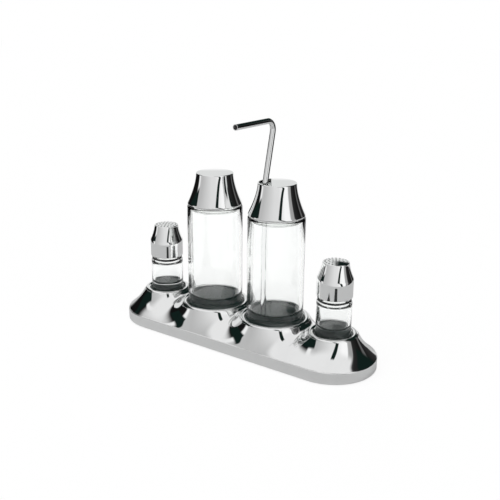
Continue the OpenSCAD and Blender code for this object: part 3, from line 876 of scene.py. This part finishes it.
class CRUET_OT_stage(bpy.types.Operator):
    """Pale floor, studio surroundings, soft light and the camera"""

    bl_idname = "cruet.stage"
    bl_label = "Stage"

    def execute(self, context):
        scene, stage = context.scene, context.scene.cruet_stage
        scene.view_settings.view_transform = "Standard"
        self.floors(scene, stage)
        self.studio(scene)
        lamp = bpy.data.lights.new("key", "SUN")
        lamp.energy, lamp.angle = stage.key_power, math.radians(50)
        key = bpy.data.objects.new("key", lamp)
        key.rotation_euler = (math.radians(25), math.radians(-20), 0.0)
        key.visible_glossy = False
        key.visible_transmission = False
        scene.collection.objects.link(key)
        self.camera(scene, stage)
        return {"FINISHED"}

    def studio(self, scene):
        """Pale and dark walls round the set, a pale ceiling, and white where the camera looks past it."""
        world = bpy.data.worlds.new("studio")
        scene.world = world
        s = Shade(world)
        parts = s.node("ShaderNodeSeparateXYZ", values={0: s.node("ShaderNodeTexCoord", out="Generated")})
        x, y, z = (Sock(s, parts.socket.node.outputs[i]) for i in range(3))
        turn, up = (s.node("ShaderNodeMath", {"operation": operation}, values) * (180 / math.pi)
                    for operation, values in (("ARCTAN2", {0: y, 1: x}), ("ARCSINE", {0: z})))
        stops = [((direction + 180) / 360, level) for direction, level in STUDIO]
        walls = s.node("ShaderNodeValToRGB", {"stops": stops}, {0: (turn + 180) / 360})
        behind = (1.0 - (turn - 125.0).size().over(28.0, 36.0)) * up.over(4.0, 10.0)
        seen = s.tint(behind, walls, (0.74, 0.75, 0.745))
        side = 1.0 - (turn - 56.0).size().over(34.0, 40.0)
        ceiling = up.over(36.0, 52.0) * (1.0 - side) + up.over(56.0, 66.0) * side
        seen = s.tint(ceiling, seen, (0.82, 0.82, 0.82))
        # dark things in the room: a leaning post, and a corner on either hand
        lean = (turn + 24.0 + up * 0.55).size() - up.over(30.0, 48.0) * 1.5
        post = (1.0 - lean.over(5.4, 7.4)) * (1.0 - up.over(56.0, 62.0))
        reach = (turn + 163.0).size() - up.over(12.0, 30.0) * 7.0
        left = (1.0 - reach.over(20.0, 23.0)) * up.over(6.0, 11.0) * (1.0 - up.over(32.0, 38.0))
        right = 1.0 - (turn - 78.0).size().over(38.0, 44.0)
        right = right * up.over(16.0, 24.0) * (1.0 - up.over(50.0, 60.0))
        dark = 1.0 - (1.0 - post) * (1.0 - left) * (1.0 - right)
        seen = s.tint(dark, seen, (0.006, 0.014, 0.012))
        shown = s.tint(s.node("ShaderNodeLightPath", out="Is Camera Ray"), seen, (1.0, 1.0, 1.0))
        back = s.node("ShaderNodeBackground", values={"Color": shown, "Strength": 1.0})
        s.node("ShaderNodeOutputWorld", values={"Surface": back})

    def pale_floor(self, colour):
        """A matt floor that glass shows a little brighter, and that nothing below it sees."""
        made, s = material("pale_floor")
        duller = tuple(c * 0.995 for c in colour)
        matt = s.node("ShaderNodeBsdfDiffuse", values={"Color": s.tint(s.noise(3.0, 2.0), colour, duller)})
        bright, glow = (s.node("ShaderNodeEmission", values={"Strength": level}) for level in (0.53, 1.12))
        through, direct, passed = (s.node("ShaderNodeLightPath", out=name) for name in
                                   ("Is Transmission Ray", "Is Camera Ray", "Transparent Depth"))
        lifted = s.node("ShaderNodeAddShader", values={0: matt, 1: bright})
        lit = s.node("ShaderNodeMixShader", values={0: through, 1: matt, 2: lifted})
        above = s.node("ShaderNodeMixShader", values={0: direct * 0.8, 1: lit, 2: glow})
        below = s.node("ShaderNodeNewGeometry", out="Backfacing") + passed
        clear = s.node("ShaderNodeBsdfTransparent")
        s.node("ShaderNodeOutputMaterial",
               values={"Surface": s.node("ShaderNodeMixShader", values={0: below, 1: above, 2: clear})})
        return made

    def floors(self, scene, stage):
        """A table top that the metal mirrors, a pale surround beyond it, and two narrow dark cards."""
        made = self.pale_floor(tuple(stage.floor_colour))
        dark, s = material("dark_card")
        s.finish(Base_Color=s.tint(s.noise(20.0), (0.01, 0.012, 0.012), (0.014, 0.016, 0.016)), Roughness=0.9)
        for name, radius, x, y, z, turn in (("floor", 0.5, 0, 0, 0, 0), ("surround", 6.0, 0, 0, -0.0002, 0),
                                            ("card_a", None, 0.076, -0.163, 0.0004, -44),
                                            ("card_b", None, 0.209, -0.160, 0.0004, -54)):
            bm = bmesh.new()
            if radius:
                bmesh.ops.create_circle(bm, cap_ends=True, segments=96, radius=radius)
            else:
                bmesh.ops.create_grid(bm, x_segments=1, y_segments=1, size=CARD_SIZE / 2)
            place = Matrix.Translation((x, y, z)) @ Matrix.Rotation(math.radians(turn), 4, "Z")
            bmesh.ops.transform(bm, verts=bm.verts, matrix=place)
            mesh = bpy.data.meshes.new(name)
            bm.to_mesh(mesh)
            bm.free()
            mesh.materials.append(made if radius else dark)
            sheet = bpy.data.objects.new(name, mesh)
            scene.collection.objects.link(sheet)
            sheet.visible_camera = bool(radius)
            if name != "floor":
                sheet.visible_diffuse = sheet.visible_shadow = sheet.visible_transmission = False
            sheet.visible_glossy = name != "surround"

    def camera(self, scene, stage):
        """The camera, turned about its own view by the roll."""
        target = Vector((0.00581, 0.0, 0.08709))
        back = Vector((math.sin(stage.azimuth) * math.cos(stage.height),
                       -math.cos(stage.azimuth) * math.cos(stage.height), math.sin(stage.height)))
        right = Vector((0, 0, 1)).cross(back).normalized()
        up = back.cross(right)
        c, s = math.cos(stage.roll), math.sin(stage.roll)
        across, above = right * c + up * s, up * c - right * s
        data = bpy.data.cameras.new("camera")
        data.lens, data.sensor_width = stage.lens, 36.0
        camera = bpy.data.objects.new("camera", data)
        spin = Matrix((across, above, back)).transposed().to_4x4()
        camera.matrix_world = Matrix.Translation(target + back * stage.distance) @ spin
        scene.collection.objects.link(camera)
        scene.camera = camera


# ---- Panel ---------------------------------------------------------------------------

GROUPS = {"cruet_metal": CruetMetal, "cruet_glass": CruetGlass, "cruet_base": CruetBase,
          "cruet_tall": CruetTall, "cruet_tube": CruetTube, "cruet_shaker": CruetShaker,
          "cruet_stage": CruetStage}
OPERATORS = (CRUET_OT_stage, CRUET_OT_base, CRUET_OT_seats, CRUET_OT_underside, CRUET_OT_tall_jars,
             CRUET_OT_stoppers, CRUET_OT_tall_caps, CRUET_OT_tube, CRUET_OT_shaker_jars, CRUET_OT_shaker_caps)


class CRUET_PT_panel(bpy.types.Panel):
    """Sizes, colours and steps of the cruet set"""

    bl_label = "Cruet set"
    bl_idname = "CRUET_PT_panel"
    bl_space_type = "VIEW_3D"
    bl_region_type = "UI"
    bl_category = "Cruet set"

    def draw(self, context):
        for operator in OPERATORS:
            self.layout.operator(operator.bl_idname)
        for name, group in GROUPS.items():
            box = self.layout.box()
            for prop in group.__annotations__:
                box.prop(getattr(context.scene, name), prop)


def register():
    for cls in (*GROUPS.values(), *OPERATORS, CRUET_PT_panel):
        bpy.utils.register_class(cls)
    for name, group in GROUPS.items():
        setattr(bpy.types.Scene, name, PointerProperty(type=group))


def unregister():
    for name in GROUPS:
        delattr(bpy.types.Scene, name)
    for cls in (CRUET_PT_panel, *OPERATORS[::-1], *list(GROUPS.values())[::-1]):
        bpy.utils.unregister_class(cls)


def main():
    register()
    for operator in OPERATORS:
        group, name = operator.bl_idname.split(".")
        if getattr(getattr(bpy.ops, group), name)() != {"FINISHED"}:
            raise RuntimeError(operator.bl_label + " was not made")


if __name__ == "__main__":
    main()
